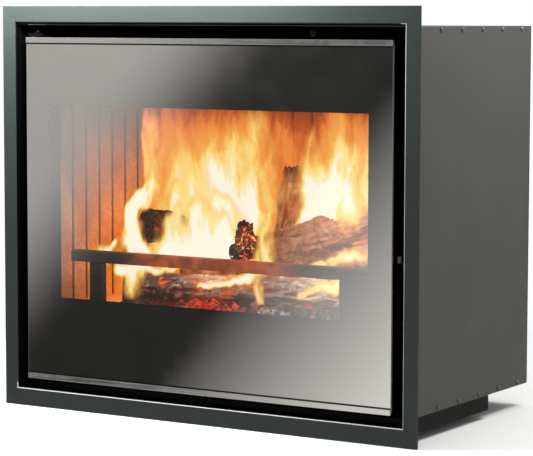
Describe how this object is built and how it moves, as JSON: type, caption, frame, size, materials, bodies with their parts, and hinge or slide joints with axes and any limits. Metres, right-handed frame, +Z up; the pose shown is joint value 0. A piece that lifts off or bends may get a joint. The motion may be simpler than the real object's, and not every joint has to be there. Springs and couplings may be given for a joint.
{
  "type": "fireplace insert",
  "caption": "Built-in wood fireplace insert: steel casing on a low plinth, mitred surround, side-hung glass door and a fluted firebrick chamber.",
  "frame": {"origin": "centre of the plinth's underside", "axes": "+X to the right seen from the front, +Y to the back, +Z up"},
  "size_m": [0.7, 0.4173, 0.5976],
  "materials": {
    "surround_paint": "satin grey-green paint",
    "casing_paint": "satin grey paint",
    "plinth_paint": "satin dark paint",
    "black_steel": "matt heat-proof black",
    "rail_steel": "brushed",
    "door_glass": "ceramic glass with a mirrored printed border",
    "zinc": "zinc plated",
    "seal_rope": "woven glass rope",
    "firebrick": "matt refractory",
    "cast_iron": "raw casting",
    "black_plastic": "moulded",
    "bark": "charred bark"
  },
  "bodies": {
    "root": {"surround_left": "surround_paint", "surround_right": "surround_paint", "surround_top": "surround_paint", "surround_bottom": "surround_paint", "casing_side_left": "casing_paint", "casing_side_right": "casing_paint", "casing_top": "casing_paint", "casing_floor": "casing_paint", "casing_back": "casing_paint", "plinth_left": "plinth_paint", "plinth_right": "plinth_paint", "plinth_plate": "plinth_paint", "face_jamb_left": "black_steel", "face_jamb_right": "black_steel", "face_header": "black_steel", "face_sill": "black_steel", "chamber_side_left": "black_steel", "chamber_side_right": "black_steel", "chamber_back": "black_steel", "chamber_floor": "black_steel", "chamber_top": "black_steel", "flue_collar": "black_steel", "air_guide": "black_steel", "screws_top_left": "zinc", "screws_top_right": "zinc", "screws_bottom_left": "zinc", "screws_bottom_right": "zinc", "hinge_lower": "black_steel", "hinge_upper": "black_steel", "catch_bracket": "black_steel", "hearth_slab": "firebrick", "lining_left": "firebrick", "lining_right": "firebrick", "lining_back": "firebrick", "baffle": "firebrick", "fan_frame": "black_plastic", "cable_gland": "black_plastic", "log_front": "bark", "log_back": "bark", "log_top": "bark", "log_right": "bark", "log_upright": "bark", "log_stub": "bark"},
    "door": {"door_rail_top": "rail_steel", "door_rail_bottom": "rail_steel", "door_glass": "door_glass", "door_stile_left": "black_steel", "door_stile_right": "black_steel", "door_member_upper": "black_steel", "door_member_lower": "black_steel", "door_seal": "seal_rope", "catch_striker": "zinc"},
    "catch_arm": {"catch_arm": "black_steel"},
    "catch_roller": {"catch_roller": "zinc"},
    "air_control": {"air_shutter": "black_steel"},
    "air_wash_control": {"air_wash_shutter": "black_steel"},
    "fan_rotor": {"fan_rotor": "black_plastic"},
    "log_guard": {"guard_bar": "cast_iron", "guard_leg_left": "cast_iron", "guard_leg_right": "cast_iron"}
  },
  "joints": [
    {"name": "door_swing", "type": "hinge", "parent": "root", "child": "door", "pos_m": [-0.298, -0.134, 0.285], "axis": [0, 0, -1], "range_deg": [0, 105]},
    {"name": "catch_swing", "type": "hinge", "parent": "root", "child": "catch_arm", "pos_m": [0.3161, -0.126, 0.2368], "axis": [0, 0, 1], "range_deg": [0, 8], "stiffness_Nm_per_rad": 0.5},
    {"name": "catch_roller_spin", "type": "hinge", "parent": "catch_arm", "child": "catch_roller", "pos_m": [0.3141, -0.136, 0.243], "axis": [0, 0, 1], "continuous": true},
    {"name": "air_slide", "type": "slide", "parent": "root", "child": "air_control", "axis": [1, 0, 0], "range_m": [0, 0.03]},
    {"name": "air_wash_slide", "type": "slide", "parent": "root", "child": "air_wash_control", "axis": [0, -1, 0], "range_m": [0, 0.03]},
    {"name": "fan_spin", "type": "hinge", "parent": "root", "child": "fan_rotor", "pos_m": [0, 0.16, 0.0623], "axis": [0, 1, 0], "continuous": true},
    {"name": "guard_lift", "type": "slide", "parent": "root", "child": "log_guard", "axis": [0, 0, 1], "range_m": [0, 0.015]}
  ]
}
